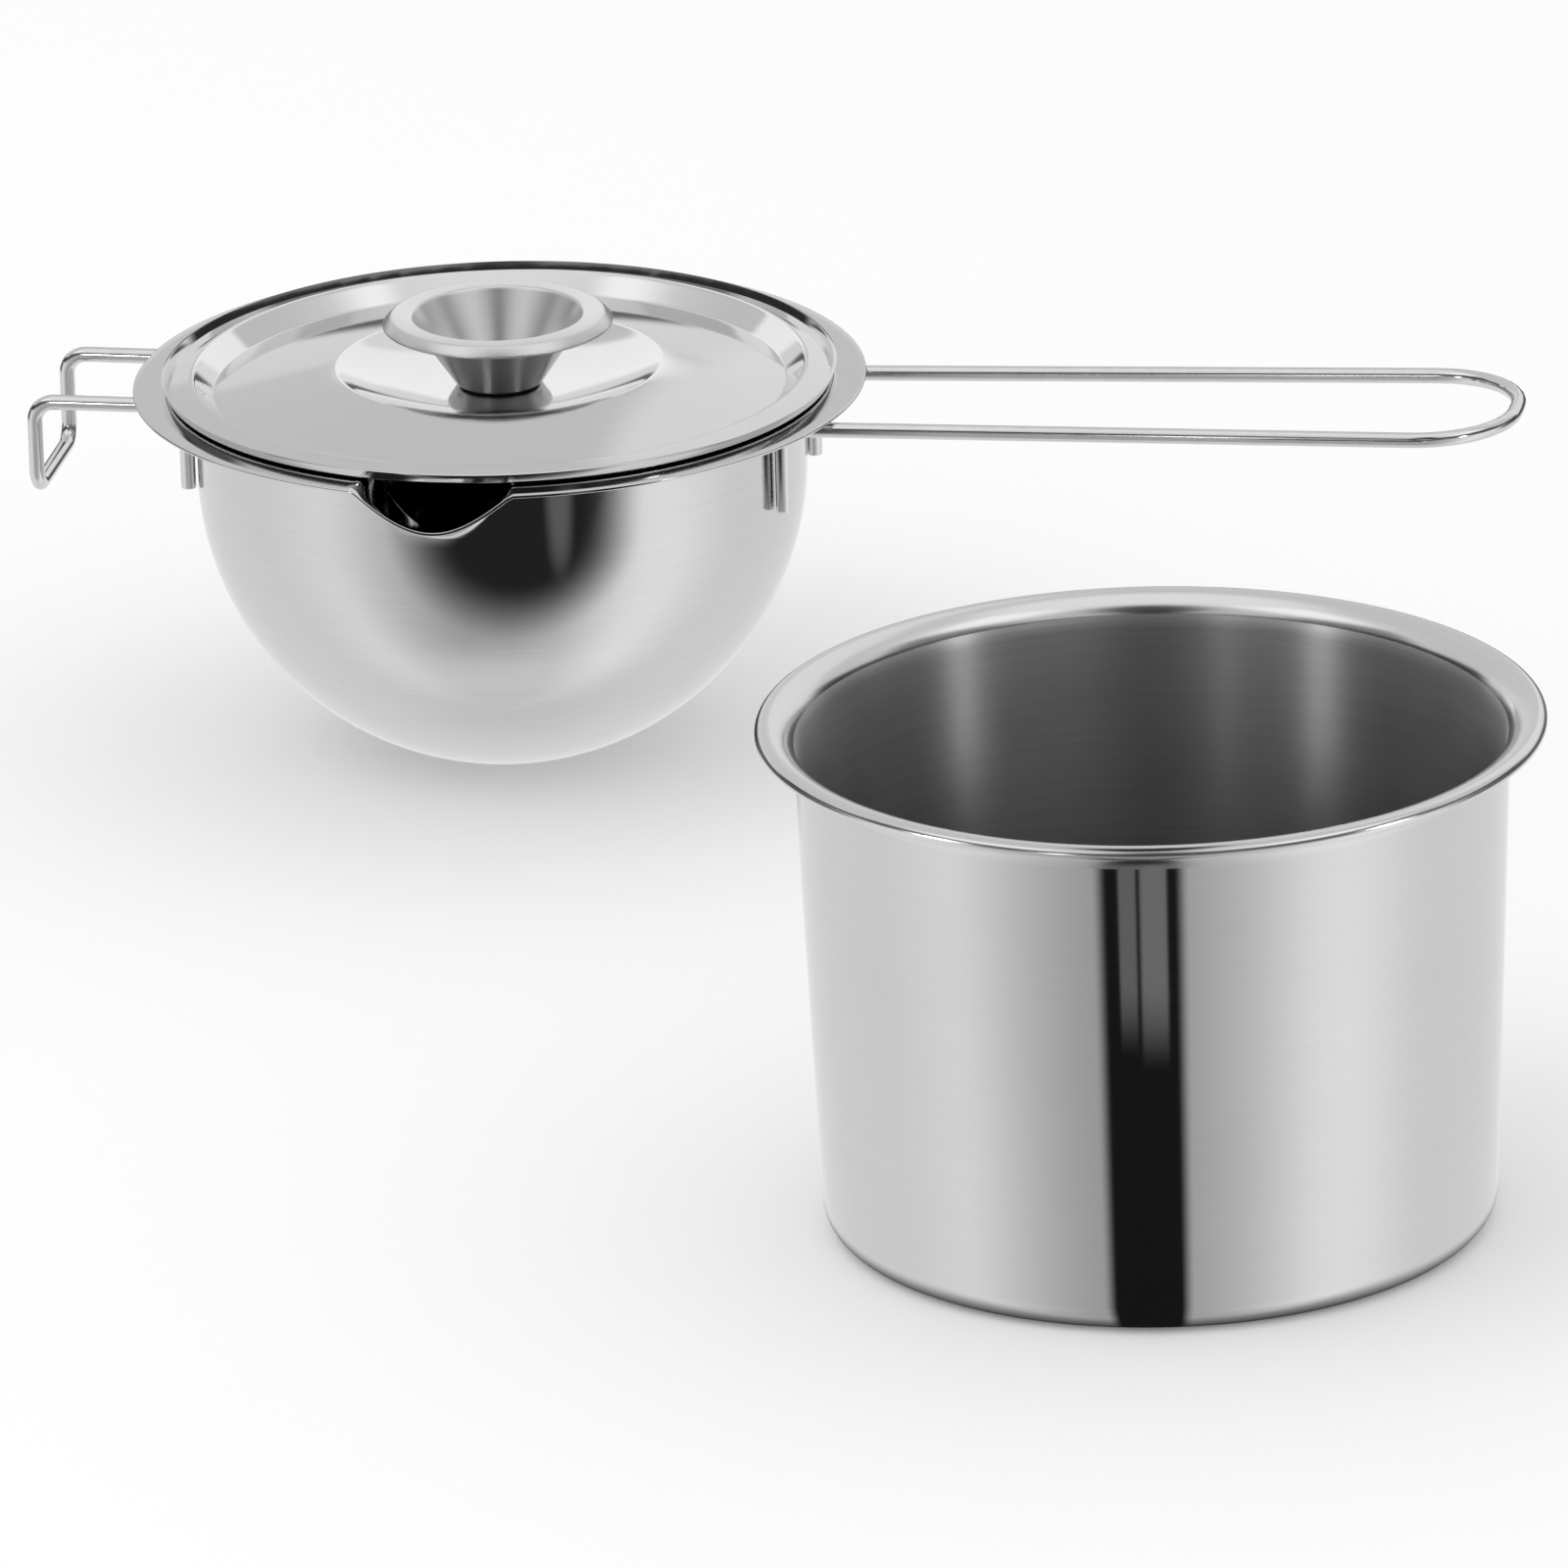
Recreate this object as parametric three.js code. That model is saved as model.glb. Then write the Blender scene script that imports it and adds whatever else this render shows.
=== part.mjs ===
// A melting pot in drawn steel sheet: a water pot, and beside it the melting bowl with two pour
// spouts, a wire handle, a wire hook for the water pot's rim, and a lid with a cup-shaped knob.
// Millimetres, +Z up. The origin is the middle of the water pot's base. +X runs along the handle.

import * as THREE from 'three';
import { mergeVertices } from 'three/addons/utils/BufferGeometryUtils.js';

// Gap left between pieces that rest on or are welded to each other
const CLEARANCE = 0.3;

// Water pot
const POT_HEIGHT = 97.5;
const POT_RIM_RADIUS = 72.5;
const POT_MOUTH_RADIUS = 65.6; // outside of the wall, where the flare begins
const POT_FOOT_RADIUS = 62.3; // outside of the wall, where the base corner ends
const POT_BASE_CORNER = 5;
const POT_LIP_ROLL = 1.3; // radius of the rolled edge
const POT_SHEET = 0.7;

// Melting bowl, standing behind the water pot and to its left
const BOWL_PLACE_X = -170;
const BOWL_PLACE_Y = 248;
const BOWL_HEIGHT = 74;
const BOWL_RIM_RADIUS = 72.5;
const BOWL_BODY_RADIUS = 60.4;
const BOWL_BASE_RADIUS = 20; // flat that the bowl stands on
const BOWL_WALL_HEIGHT = 17; // straight wall between the dome and the rim
const BOWL_RIM_CORNER = 1.6;
const BOWL_SHEET = 0.7;

// Pour spouts, pressed into the rim on both sides of the handle
const SPOUT_HALF_WIDTH = 16;
const SPOUT_DIP = 7.6; // lip below the rim
const SPOUT_ROOT_DEPTH = 13; // where the spout runs out into the wall
const SPOUT_ROOT_WIDTH = 0.5; // share of the full width that is left there

// Lid
const LID_OVERHANG = 6.4; // lid edge beyond the bowl's body
const LID_LIP_HEIGHT = 1.8; // upturned edge
const LID_RING_RISE = 1.5; // conical ring between the edge and the step
const LID_PLAY = 2.9; // sunken plate to the inside of the bowl
const LID_STEP_RUN = 4;
const LID_STEP_DROP = 3.9;
const LID_CROWN_RISE = 4.6; // sunken plate's edge up to the edge of the finger dish
const LID_DISH_RADIUS = 32.2;
const LID_DISH_DEPTH = 4.2;
const LID_SHEET = 0.7;

// Knob, an open cup on the floor of the finger dish
const KNOB_HEIGHT = 14.2;
const KNOB_FOOT_RADIUS = 8.6;
const KNOB_CUP_RADIUS = 17.6;
const KNOB_RIM_RADIUS = 23;
const KNOB_RIM_DROP = 1.7; // bevelled edge of the rim
const KNOB_SEAT_MARGIN = 2; // dish floor around the foot
const KNOB_SHEET = 0.7;

// Wire of the handle and the hook
const WIRE_RADIUS = 1.5;
const WIRE_BEND = 4;
const WIRE_TAIL = 17; // welded end below the leg
const WIRE_RIM_GAP = 0.7; // between the bowl's rim and the wire under it

const HANDLE_LENGTH = 130.3; // middle of the wire at the tip, beyond the bowl's rim
const HANDLE_ROOT_WIDTH = 35; // between the middles of the legs at the bowl
const HANDLE_TIP_WIDTH = 40.5;
const HANDLE_TIP_BEND = 18;
const HANDLE_RISE = 3; // tip above the root

const HOOK_STAND_OFF = 18.5; // middle of the crossbar beyond the bowl's rim
const HOOK_WIDTH = 30;
const HOOK_DROP = 18;

// Fineness of the round forms
const POT_SEGMENTS = 60;
const BOWL_SEGMENTS = 64;
const LID_SEGMENTS = 60;
const KNOB_SEGMENTS = 40;
const WIRE_SIDES = 8;
const BEND_STEPS = 6;

const WARP_TO_SPOUTS = 0.3; // share of the bowl's columns that gather at the spouts

const point = (radius, height) => new THREE.Vector2(radius, height);

// Points on an arc, from one angle to another in degrees. A second radius makes it elliptic.
function arc(centre, radius, from, to, steps, upright = radius) {
  return Array.from({ length: steps + 1 }, (_, i) => {
    const angle = THREE.MathUtils.degToRad(from + ((to - from) * i) / steps);
    return point(centre.x + radius * Math.cos(angle), centre.y + upright * Math.sin(angle));
  });
}

// Gives the midline of a sheet its thickness: out along the lower face, back along the upper one.
function thicken(midline, sheet) {
  const normalOf = (start, end) => {
    const along = end.clone().sub(start).normalize();
    return point(along.y, -along.x);
  };
  const offsets = midline.map((here, i) => {
    const before = i > 0 ? normalOf(midline[i - 1], here) : normalOf(here, midline[i + 1]);
    const after = i < midline.length - 1 ? normalOf(here, midline[i + 1]) : before;
    const mitre = before.clone().add(after).normalize();
    return mitre.multiplyScalar(sheet / 2 / mitre.dot(after));
  });
  const lower = midline.map((here, i) => here.clone().add(offsets[i]));
  const upper = midline.map((here, i) => here.clone().sub(offsets[i]));
  return [...lower, ...upper.reverse()];
}

// Keeps only positions, shares the vertices and drops the triangles that closed up on the axis.
function closeUp(geometry) {
  geometry.deleteAttribute('normal');
  geometry.deleteAttribute('uv');
  const merged = mergeVertices(geometry);
  const corners = merged.index.array;
  const kept = [];
  for (let i = 0; i < corners.length; i += 3) {
    const [a, b, c] = corners.slice(i, i + 3);
    if (a !== b && b !== c && c !== a) kept.push(a, b, c);
  }
  merged.setIndex(kept);
  merged.computeVertexNormals();
  return merged;
}

// Turns a closed profile about the upright axis. Each point may be moved and each column warped.
function revolve(profile, segments, warp = (turn) => turn, shape = (index) => profile[index]) {
  const geometry = new THREE.LatheGeometry(profile, segments);
  const positions = geometry.getAttribute('position');
  for (let i = 0; i < positions.count; i += 1) {
    const column = Math.floor(i / profile.length);
    const turn = warp((column / segments) * 2 * Math.PI);
    const place = shape(i % profile.length, turn);
    positions.setXYZ(i, place.x * Math.cos(turn), place.x * Math.sin(turn), place.y);
  }
  return closeUp(geometry);
}

// Centre line of a bent wire: straight runs between corners, with a round bend at each.
class BentWire extends THREE.Curve {
  constructor(corners, bends) {
    super();
    this.stations = [];
    const directions = corners.slice(1).map((end, i) => end.clone().sub(corners[i]).normalize());
    this.stations.push({ place: corners[0], along: directions[0] });
    bends.forEach((radius, i) => this.bend(corners[i + 1], directions[i], directions[i + 1], radius));
    this.stations.push({ place: corners.at(-1), along: directions.at(-1) });
  }

  bend(corner, before, after, radius) {
    const angle = before.angleTo(after);
    const inward = after.clone().addScaledVector(before, -Math.cos(angle)).normalize();
    const start = corner.clone().addScaledVector(before, -radius * Math.tan(angle / 2));
    const centre = start.addScaledVector(inward, radius);
    for (let step = 0; step <= BEND_STEPS; step += 1) {
      const turn = (angle * step) / BEND_STEPS;
      const place = centre.clone();
      place.addScaledVector(before, radius * Math.sin(turn));
      place.addScaledVector(inward, -radius * Math.cos(turn));
      const along = before.clone().multiplyScalar(Math.cos(turn));
      along.addScaledVector(inward, Math.sin(turn));
      this.stations.push({ place, along });
    }
  }

  get steps() {
    return this.stations.length - 1;
  }

  getPointAt(share) {
    return this.stations[Math.round(share * this.steps)].place.clone();
  }

  getTangentAt(share) {
    return this.stations[Math.round(share * this.steps)].along.clone();
  }
}

function wire(path) {
  const ring = Array.from({ length: WIRE_SIDES }, (_, i) => {
    const angle = (2 * Math.PI * i) / WIRE_SIDES;
    return point(WIRE_RADIUS * Math.cos(angle), WIRE_RADIUS * Math.sin(angle));
  });
  const section = new THREE.Shape(ring);
  return closeUp(new THREE.ExtrudeGeometry(section, { extrudePath: path, steps: path.steps }));
}

// Water pot: flat base, round corner, tapered wall, trumpet flare and rolled edge.
function makePot() {
  const half = POT_SHEET / 2;
  const mouth = POT_MOUTH_RADIUS - half;
  const foot = POT_FOOT_RADIUS - half;
  const lip = point(POT_RIM_RADIUS - half - POT_LIP_ROLL, POT_HEIGHT - half - POT_LIP_ROLL);
  const flareRadius = lip.x - mouth;
  const flare = point(lip.x, POT_HEIGHT - half - flareRadius);
  const corner = point(foot - POT_BASE_CORNER, half + POT_BASE_CORNER);
  const taper = THREE.MathUtils.radToDeg(Math.atan2(mouth - foot, flare.y - corner.y));
  const midline = [
    point(0, half),
    ...arc(corner, POT_BASE_CORNER, -90, -taper, 4),
    ...arc(flare, flareRadius, 180 - taper, 90, 5),
    ...arc(lip, POT_LIP_ROLL, 70, -20, 3),
  ];
  return revolve(thicken(midline, POT_SHEET), POT_SEGMENTS);
}

// Melting bowl: flat base, dome, straight wall and flat rim, with a spout pressed into each side.
function makeBowl() {
  const half = BOWL_SHEET / 2;
  const body = BOWL_BODY_RADIUS - half;
  const rimHeight = BOWL_HEIGHT - half;
  const domeTop = point(0, BOWL_HEIGHT - BOWL_WALL_HEIGHT);
  const baseAngle = THREE.MathUtils.radToDeg(Math.acos(BOWL_BASE_RADIUS / body));
  const domeDepth = (domeTop.y - half) / Math.sin(THREE.MathUtils.degToRad(baseAngle));
  const corner = point(body + BOWL_RIM_CORNER, rimHeight - BOWL_RIM_CORNER);
  const dome = arc(domeTop, body, -baseAngle, 0, 7, domeDepth);
  const wallMiddle = point(body, (domeTop.y + corner.y) / 2);
  const rimMiddle = point((corner.x + BOWL_RIM_RADIUS) / 2, rimHeight);
  const midline = [
    point(0, half),
    ...dome,
    wallMiddle,
    ...arc(corner, BOWL_RIM_CORNER, 180, 90, 3),
    rimMiddle,
    point(BOWL_RIM_RADIUS, rimHeight),
  ];

  // Section through the middle of a spout, from the wall up and out to the lip
  const root = point(body, rimHeight - SPOUT_ROOT_DEPTH);
  const lip = point(BOWL_RIM_RADIUS, rimHeight - SPOUT_DIP);
  const rise = (lip.y - root.y) / 2;
  const reach = (lip.x - body) / 2;
  const spout = new THREE.CubicBezierCurve(
    root,
    point(root.x, root.y + rise),
    point(lip.x - reach, lip.y - rise / 2),
    lip,
  );

  // How far along the way from the spout's root to the edge each point of the midline lies
  const lengths = [0];
  midline.slice(1).forEach((here, i) => lengths.push(lengths[i] + here.distanceTo(midline[i])));
  const wholeLength = lengths.at(-1);
  const spoutLength = SPOUT_ROOT_DEPTH + BOWL_RIM_RADIUS - body;
  const shares = lengths.map((length) => Math.max(0, 1 - (wholeLength - length) / spoutLength));

  const profile = thicken(midline, BOWL_SHEET);
  const shape = (index, turn) => {
    const station = index < midline.length ? index : profile.length - 1 - index;
    const share = shares[station];
    if (share === 0) return profile[index];
    const fromSpout = Math.abs(Math.asin(Math.cos(turn))) * BOWL_RIM_RADIUS;
    const width = SPOUT_HALF_WIDTH * Math.min(1, SPOUT_ROOT_WIDTH + share);
    const press = fromSpout < width ? Math.cos((Math.PI / 2) * (fromSpout / width)) : 0;
    const pressed = spout.getPoint(share).sub(midline[station]).multiplyScalar(press);
    return pressed.add(profile[index]);
  };
  const warp = (turn) => turn + WARP_TO_SPOUTS * Math.sin(2 * turn);
  return revolve(profile, BOWL_SEGMENTS, warp, shape);
}

// Heights of the lid above the floor, where the knob and the bowl meet it
const lidSeat = BOWL_HEIGHT + CLEARANCE + LID_SHEET / 2;
const lidStepTop = lidSeat + LID_RING_RISE;
const lidPlate = lidStepTop - LID_STEP_DROP;
const lidDishEdge = lidPlate + LID_CROWN_RISE;
const lidDishFloor = lidDishEdge - LID_DISH_DEPTH;

// Lid: upturned edge, conical ring, step down to a sunken crowned plate, and a finger dish.
function makeLid() {
  const edge = BOWL_BODY_RADIUS + LID_OVERHANG - LID_SHEET / 2;
  const plate = BOWL_BODY_RADIUS - BOWL_SHEET - LID_PLAY;
  const floor = KNOB_FOOT_RADIUS + KNOB_SEAT_MARGIN;
  const dish = new THREE.QuadraticBezierCurve(
    point(floor, lidDishFloor),
    point((floor + LID_DISH_RADIUS) / 2, lidDishFloor),
    point(LID_DISH_RADIUS, lidDishEdge),
  );
  const crown = new THREE.QuadraticBezierCurve(
    point(LID_DISH_RADIUS, lidDishEdge),
    point((LID_DISH_RADIUS + plate) / 2, (lidDishEdge + lidPlate) / 2 + LID_CROWN_RISE / 8),
    point(plate, lidPlate),
  );
  const midline = [
    point(0, lidDishFloor),
    ...dish.getPoints(4),
    ...crown.getPoints(3).slice(1),
    point(plate + LID_STEP_RUN, lidStepTop),
    point(edge - LID_SHEET, lidSeat),
    point(edge, lidSeat + LID_LIP_HEIGHT),
  ];
  return revolve(thicken(midline, LID_SHEET), LID_SEGMENTS);
}

// Knob: a flat foot, a conical cup and a broad flat rim with a bevelled edge.
function makeKnob() {
  const half = KNOB_SHEET / 2;
  const foot = lidDishFloor + LID_SHEET / 2 + CLEARANCE + half;
  const rim = foot - half + KNOB_HEIGHT - half;
  const bevel = KNOB_RIM_RADIUS - half - KNOB_RIM_DROP;
  const midline = [
    point(0, foot),
    point(KNOB_FOOT_RADIUS - KNOB_SHEET, foot),
    point(KNOB_FOOT_RADIUS, foot + KNOB_SHEET),
    point(KNOB_CUP_RADIUS - KNOB_SHEET, rim - KNOB_SHEET),
    point(KNOB_CUP_RADIUS, rim),
    point(bevel, rim),
    point(KNOB_RIM_RADIUS - half, rim - KNOB_RIM_DROP),
  ];
  return revolve(thicken(midline, KNOB_SHEET), KNOB_SEGMENTS);
}

// Places shared by the two wires: the weld on the wall and the run under the rim
const wireWeld = BOWL_BODY_RADIUS + CLEARANCE + WIRE_RADIUS;
const wireRun = BOWL_HEIGHT - BOWL_SHEET - WIRE_RIM_GAP - WIRE_RADIUS;
const weldedAt = (halfWidth) => Math.sqrt(wireWeld ** 2 - halfWidth ** 2);

// Handle: welded tail, leg under the rim, round tip, and the same again on the other side.
function makeHandle() {
  const root = HANDLE_ROOT_WIDTH / 2;
  const tip = HANDLE_TIP_WIDTH / 2;
  const weld = weldedAt(root);
  const side = (sign) => [
    new THREE.Vector3(weld, sign * root, wireRun - WIRE_TAIL),
    new THREE.Vector3(weld, sign * root, wireRun),
    new THREE.Vector3(BOWL_RIM_RADIUS + HANDLE_LENGTH, sign * tip, wireRun + HANDLE_RISE),
  ];
  const corners = [...side(-1), ...side(1).reverse()];
  return wire(new BentWire(corners, [WIRE_BEND, HANDLE_TIP_BEND, HANDLE_TIP_BEND, WIRE_BEND]));
}

// Hook: welded tail, leg under the rim, drop, crossbar, and back on the other side.
function makeHook() {
  const half = HOOK_WIDTH / 2;
  const weld = weldedAt(half);
  const bar = BOWL_RIM_RADIUS + HOOK_STAND_OFF;
  const side = (sign) => [
    new THREE.Vector3(-weld, sign * half, wireRun - WIRE_TAIL),
    new THREE.Vector3(-weld, sign * half, wireRun),
    new THREE.Vector3(-bar, sign * half, wireRun),
    new THREE.Vector3(-bar, sign * half, wireRun - HOOK_DROP),
  ];
  const corners = [...side(-1), ...side(1).reverse()];
  return wire(new BentWire(corners, Array(corners.length - 2).fill(WIRE_BEND)));
}

function steelPiece(name, geometry, color, roughness) {
  const material = new THREE.MeshStandardMaterial({ color, roughness, metalness: 1 });
  const mesh = new THREE.Mesh(geometry, material);
  mesh.name = name;
  return mesh;
}

const meltingPot = new THREE.Group();
const bowlGroup = new THREE.Group();
bowlGroup.position.set(BOWL_PLACE_X, BOWL_PLACE_Y, 0);
bowlGroup.add(steelPiece('melting_bowl', makeBowl(), 0xc2c3c4, 0.28));
bowlGroup.add(steelPiece('handle_wire', makeHandle(), 0xb2b4b6, 0.2));
bowlGroup.add(steelPiece('hook_wire', makeHook(), 0xb2b4b6, 0.2));
bowlGroup.add(steelPiece('lid', makeLid(), 0xcfd0d1, 0.14));
bowlGroup.add(steelPiece('lid_knob', makeKnob(), 0xc6c7c8, 0.26));
meltingPot.add(steelPiece('outer_pot', makePot(), 0xbcbec0, 0.2));
meltingPot.add(bowlGroup);

export default meltingPot;
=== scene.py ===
"""Dressed scene of a steel melting pot set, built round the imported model.

A water pot stands in front. Behind it, to the left, stands the melting bowl with two pour spouts,
a wire handle, a wire hook for the water pot's rim, and a lid with a cup-shaped knob. Sizes are in
metres, +Z is up, and the middle of the water pot's base is the origin.
"""

import logging
import math
from collections.abc import Callable, Sequence
from dataclasses import dataclass
from enum import Enum

import bmesh
import bpy
from bpy.types import Material, Node, NodeSocket, NodeTree, Object
from mathutils import Matrix, Vector


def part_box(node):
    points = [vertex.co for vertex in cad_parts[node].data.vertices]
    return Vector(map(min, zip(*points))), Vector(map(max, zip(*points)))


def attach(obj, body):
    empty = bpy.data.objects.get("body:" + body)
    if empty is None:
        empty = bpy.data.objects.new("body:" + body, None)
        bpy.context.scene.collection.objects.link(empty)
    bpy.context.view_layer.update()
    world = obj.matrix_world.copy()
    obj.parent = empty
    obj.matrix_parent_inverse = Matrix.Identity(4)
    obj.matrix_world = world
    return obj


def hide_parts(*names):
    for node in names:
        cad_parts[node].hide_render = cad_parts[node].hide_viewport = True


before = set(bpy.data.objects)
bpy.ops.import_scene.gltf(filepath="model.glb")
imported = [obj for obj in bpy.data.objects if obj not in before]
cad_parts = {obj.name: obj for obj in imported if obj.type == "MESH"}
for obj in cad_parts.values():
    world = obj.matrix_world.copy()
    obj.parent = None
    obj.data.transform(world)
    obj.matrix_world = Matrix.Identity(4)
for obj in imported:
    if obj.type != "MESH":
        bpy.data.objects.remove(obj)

LOG = logging.getLogger("melting_pot")
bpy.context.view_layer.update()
MM = 0.001
UP = Vector((0, 0, 1))

LONG_FLAT = 3.5 * MM  # a straight stretch of a section that gets a ring beside each of its corners
CORNER_RING = 0.4 * MM  # how far from the corner that ring lies
FILLET_STEPS = 5
SMOOTH_ANGLE = math.radians(38)
EDGE_ANGLE = math.radians(60)  # folds sharper than this are cut edges of the sheet or the wire
EDGE_STEPS = 3
SHEET_EDGE = 0.4  # rounding of a sheet's cut edge, as a share of its thickness
WIRE_EDGE = 0.25  # rounding of a wire's cut end, as a share of its radius
MERGE_GAP = 0.001 * MM
WHITE = (1, 1, 1, 1)


# Sections and edit-mode moves that the pieces share


def at(radius: float, height: float) -> Vector:
    """Point of a section, from its radius and its height."""
    return Vector((radius, height))


def arc(centre: Vector, radius: float, start: float, end: float, steps: int,
        upright: float | None = None) -> list[Vector]:
    """Lays points on an arc of a section.

    Args:
        centre: Centre of the arc.
        radius: Radius of the arc, or its half width if it is elliptic.
        start: Angle of the first point, in degrees.
        end: Angle of the last point, in degrees.
        steps: Number of chords.
        upright: Half height of an elliptic arc.

    Returns:
        The points, from the first angle to the last.
    """
    height = radius if upright is None else upright
    angles = [math.radians(start + (end - start) * i / steps) for i in range(steps + 1)]
    return [centre + at(radius * math.cos(a), height * math.sin(a)) for a in angles]


def bow(start: Vector, pull: Vector, end: Vector, steps: int) -> list[Vector]:
    """Lays points on a curve that leaves one point and reaches another.

    Args:
        start: First point.
        pull: Point that the curve is drawn towards.
        end: Last point.
        steps: Number of chords.

    Returns:
        The points, both ends included.
    """
    shares = [i / steps for i in range(steps + 1)]
    return [start * (1 - s) ** 2 + pull * 2 * s * (1 - s) + end * s**2 for s in shares]


@dataclass(frozen=True)
class Corner:
    """Corner of a section, with the radius that the press leaves in it."""

    place: Vector
    fillet: float = 0.0

    def rounded(self, before: Vector, after: Vector) -> list[Vector]:
        """Rounds the corner between its neighbours.

        Args:
            before: Point ahead of the corner.
            after: Point behind it.

        Returns:
            The points of the fillet, or the corner itself if it is sharp.
        """
        if not self.fillet:
            return [self.place]
        inbound = (self.place - before).normalized()
        outbound = (after - self.place).normalized()
        angle = inbound.angle(outbound)
        inward = (outbound - inbound * math.cos(angle)).normalized()
        start = self.place - inbound * self.fillet * math.tan(angle / 2)
        centre = start + inward * self.fillet
        turns = [angle * i / FILLET_STEPS for i in range(FILLET_STEPS + 1)]
        ways = [inbound * math.sin(turn) - inward * math.cos(turn) for turn in turns]
        return [centre + way * self.fillet for way in ways]


def pressed(corners: list[Corner]) -> list[Vector]:
    """Rounds the corners of a section and adds a point beside each, which keeps the flats flat.

    Args:
        corners: Corners from the axis out to the edge.

    Returns:
        The midline of the sheet.
    """
    rounded = [corners[0].place]
    for before, here, after in zip(corners, corners[1:], corners[2:]):
        rounded += here.rounded(before.place, after.place)
    rounded.append(corners[-1].place)
    midline = [rounded[0]]
    for before, here in zip(rounded, rounded[1:]):
        span = here - before
        if span.length > LONG_FLAT:
            step = span.normalized() * CORNER_RING
            midline += [before + step, here - step]
        midline.append(here)
    return midline


def clear_selection() -> None:
    """Leaves nothing selected, so that an operator acts on the new piece alone."""
    bpy.ops.object.select_all(action="DESELECT")


def take_new(name: str) -> Object:
    """Names the primitive that was just added and puts its place into its mesh.

    Args:
        name: Name of the piece and of its mesh.

    Returns:
        The piece.
    """
    piece = bpy.context.object
    piece.name = name
    piece.data.name = name
    bpy.ops.object.transform_apply(location=True, rotation=True, scale=True)
    return piece


def select_points(piece: Object, wanted: Callable[[Vector], bool]) -> None:
    """Selects points of the piece in edit mode by their place, and what lies between them.

    Args:
        piece: Piece in edit mode.
        wanted: Says whether a point at this place is selected.
    """
    mesh = bmesh.from_edit_mesh(piece.data)
    for vert in mesh.verts:
        vert.select_set(wanted(vert.co))
    mesh.select_flush_mode()
    bmesh.update_edit_mesh(piece.data)


def turn_sheet(name: str, midline: list[Vector], axis: Vector, columns: int) -> Object:
    """Draws a sheet round an upright axis, ring by ring, from a disc out to its edge.

    Args:
        name: Name of the piece.
        midline: Section of the sheet, from the rim of the flat middle outwards.
        axis: Foot of the axis.
        columns: Number of points in each ring.

    Returns:
        The open sheet, with no thickness yet.
    """
    first = midline[0]
    middle = Vector((axis.x, axis.y, first.y))
    clear_selection()
    bpy.ops.mesh.primitive_circle_add(
        vertices=columns, radius=first.x, fill_type="TRIFAN", location=middle
    )
    sheet = take_new(name)
    bpy.ops.object.mode_set(mode="EDIT")
    bpy.ops.mesh.select_mode(type="VERT")
    select_points(sheet, lambda place: (place - middle).length > first.x / 2)
    for before, here in zip(midline, midline[1:]):
        bpy.ops.mesh.extrude_region_move(
            TRANSFORM_OT_translate={"value": (0, 0, here.y - before.y)}
        )
        growth = here.x / before.x
        bpy.ops.transform.resize(
            value=(growth, growth, 1), center_override=(axis.x, axis.y, here.y)
        )
    bpy.ops.mesh.select_all(action="SELECT")
    bpy.ops.mesh.normals_make_consistent(inside=False)
    bpy.ops.object.mode_set(mode="OBJECT")
    return sheet


def apply_modifier(piece: Object, kind: str, **settings: float | str | bool) -> None:
    """Adds a modifier and applies it.

    Args:
        piece: Piece that it changes.
        kind: Blender's name for the modifier.
        **settings: Values that it gets.
    """
    bpy.context.view_layer.objects.active = piece
    bpy.ops.object.modifier_add(type=kind)
    modifier = piece.modifiers[-1]
    for name, value in settings.items():
        setattr(modifier, name, value)
    bpy.ops.object.modifier_apply(modifier=modifier.name)


def thicken(sheet: Object, thickness: float) -> None:
    """Gives an open sheet its thickness, half to each side, with a rounded edge."""
    apply_modifier(sheet, "SOLIDIFY", thickness=thickness, offset=0, use_even_offset=True)
    round_edges(sheet, thickness * SHEET_EDGE)


def round_edges(piece: Object, width: float) -> None:
    """Rounds the cut edges of a piece and smooths its faces.

    Args:
        piece: Piece to finish.
        width: Width of the rounding.
    """
    apply_modifier(
        piece, "BEVEL", width=width, segments=EDGE_STEPS, limit_method="ANGLE",
        angle_limit=EDGE_ANGLE,
    )
    clear_selection()
    piece.select_set(True)
    bpy.ops.object.shade_smooth_by_angle(angle=SMOOTH_ANGLE)


def measure(node: str) -> tuple[Vector, float, float]:
    """Takes the place and the outer sizes of a round shell from its CAD node.

    Args:
        node: Name of the node.

    Returns:
        Foot of the axis, radius of the rim and height.
    """
    low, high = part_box(node)
    axis = Vector(((low.x + high.x) / 2, (low.y + high.y) / 2, 0))
    return axis, (high.x - low.x) / 2, high.z


def hand_over(piece: Object, node: str, body: str) -> None:
    """Puts a finished piece in the place of its CAD node.

    Args:
        piece: Finished piece.
        node: CAD node that it stands for.
        body: Body that it moves with.
    """
    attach(piece, body)
    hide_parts(node)
    LOG.info("%s stands for %s, %d faces", piece.name, node, len(piece.data.polygons))


# Finishes


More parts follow.
